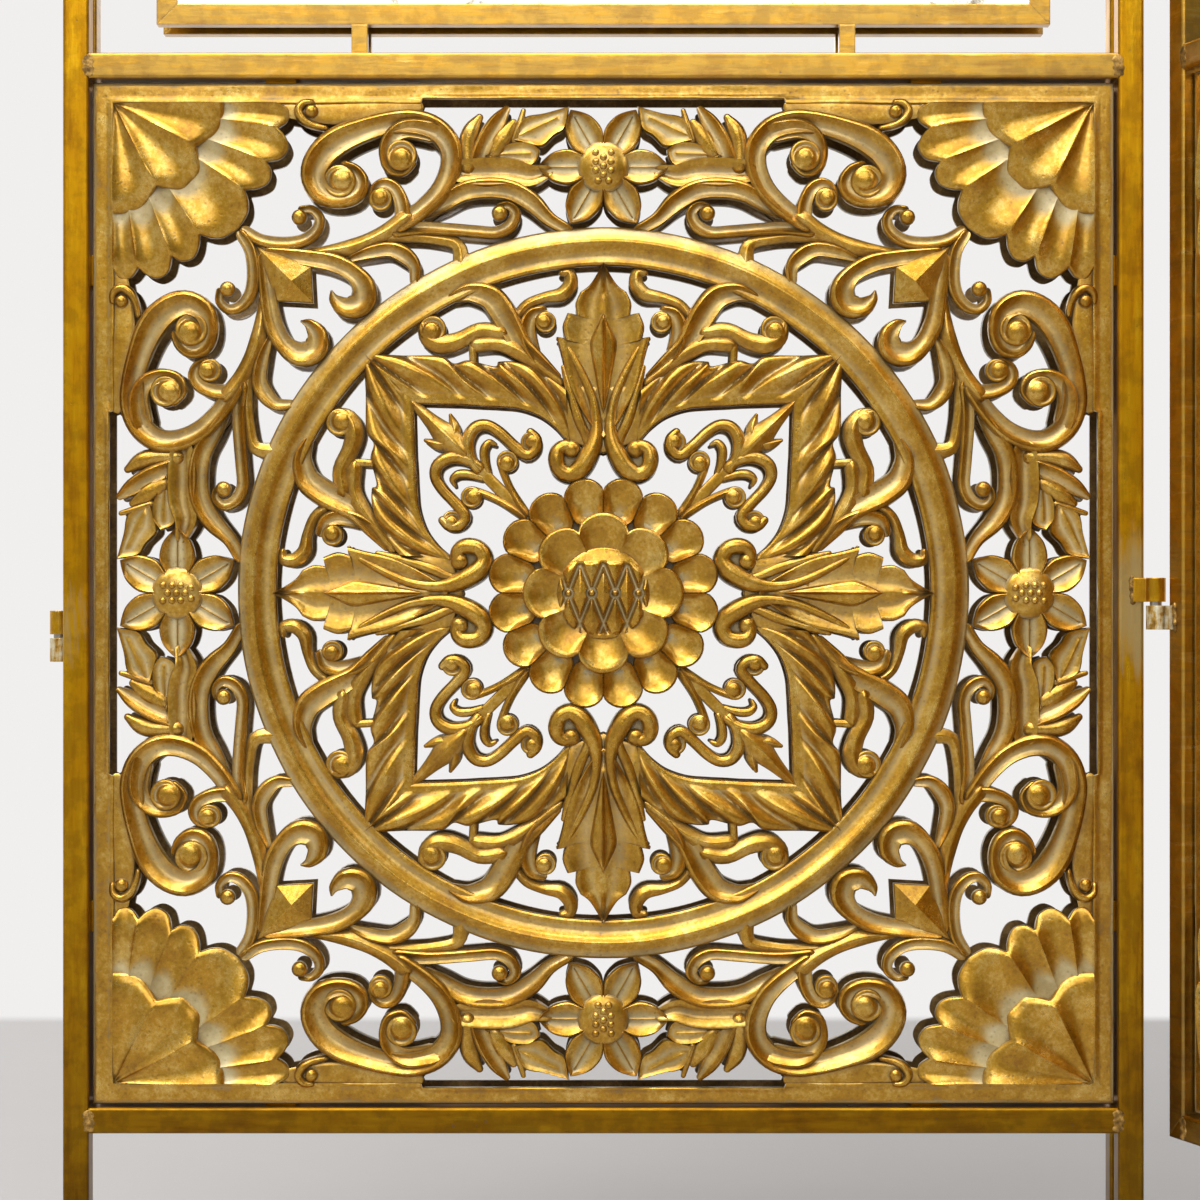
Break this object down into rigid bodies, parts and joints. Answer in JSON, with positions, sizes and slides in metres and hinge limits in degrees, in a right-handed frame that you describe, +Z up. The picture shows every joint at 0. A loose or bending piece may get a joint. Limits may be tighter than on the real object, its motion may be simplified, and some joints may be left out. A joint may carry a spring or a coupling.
{
  "type": "folding screen",
  "caption": "Folding screen of square metal tube: leaves with a pierced scrollwork sheet below and a framed mirror above, joined by upright pin hinges.",
  "frame": {"origin": "on the floor, at the middle of the sole of the centre leaf's left foot", "axes": "+X runs along the centre leaf to the right as seen from the front, -Y is the front, +Z is up"},
  "size_m": [0.7008, 0.508, 1.8],
  "materials": {
    "gilt_tube": "gilded, satin, worn dark in patches",
    "pierced_sheet": "aged, bright on the raised edges and dull in the hollows",
    "mirror_glass": "lightly antiqued",
    "backing_board": "plain fibre board",
    "hinge_metal": "gilded, dull",
    "pin_steel": "dull",
    "foot_plastic": "matt"
  },
  "bodies": {
    "centre_leaf": {"centre_left_stile": "gilt_tube", "centre_right_stile": "gilt_tube", "centre_top_rail": "gilt_tube", "centre_middle_rail": "gilt_tube", "centre_bottom_rail": "gilt_tube", "centre_panel": "pierced_sheet", "centre_panel_tabs": "gilt_tube", "centre_mirror": "mirror_glass", "centre_mirror_board": "backing_board", "centre_frame_top": "gilt_tube", "centre_frame_bottom": "gilt_tube", "centre_frame_left": "gilt_tube", "centre_frame_right": "gilt_tube", "centre_spacers": "gilt_tube", "centre_feet": "foot_plastic", "left_hinge_upper_barrels": "hinge_metal", "right_hinge_upper_barrels": "hinge_metal"},
    "left_leaf": {"left_hinge_stile": "gilt_tube", "left_leg_stile": "gilt_tube", "left_top_rail": "gilt_tube", "left_middle_rail": "gilt_tube", "left_bottom_rail": "gilt_tube", "left_panel": "pierced_sheet", "left_panel_tabs": "gilt_tube", "left_mirror": "mirror_glass", "left_mirror_board": "backing_board", "left_frame_top": "gilt_tube", "left_frame_bottom": "gilt_tube", "left_frame_hinge_side": "gilt_tube", "left_frame_leg_side": "gilt_tube", "left_spacers": "gilt_tube", "left_foot": "foot_plastic", "left_hinge_lower_barrels": "hinge_metal", "left_hinge_pins": "pin_steel"},
    "right_leaf": {"right_hinge_stile": "gilt_tube", "right_leg_stile": "gilt_tube", "right_top_rail": "gilt_tube", "right_middle_rail": "gilt_tube", "right_bottom_rail": "gilt_tube", "right_panel": "pierced_sheet", "right_panel_tabs": "gilt_tube", "right_mirror": "mirror_glass", "right_mirror_board": "backing_board", "right_frame_top": "gilt_tube", "right_frame_bottom": "gilt_tube", "right_frame_hinge_side": "gilt_tube", "right_frame_leg_side": "gilt_tube", "right_spacers": "gilt_tube", "right_foot": "foot_plastic", "right_hinge_lower_barrels": "hinge_metal", "right_hinge_pins": "pin_steel"}
  },
  "joints": [
    {"name": "left_fold", "type": "hinge", "parent": "centre_leaf", "child": "left_leaf", "pos_m": [-0.0105, 0.00975, 0.35], "axis": [0, 0, 1], "range_deg": [0, 180]},
    {"name": "right_fold", "type": "hinge", "parent": "centre_leaf", "child": "right_leaf", "pos_m": [0.4985, -0.00975, 0.365], "axis": [0, 0, 1], "range_deg": [-110, 70]}
  ]
}
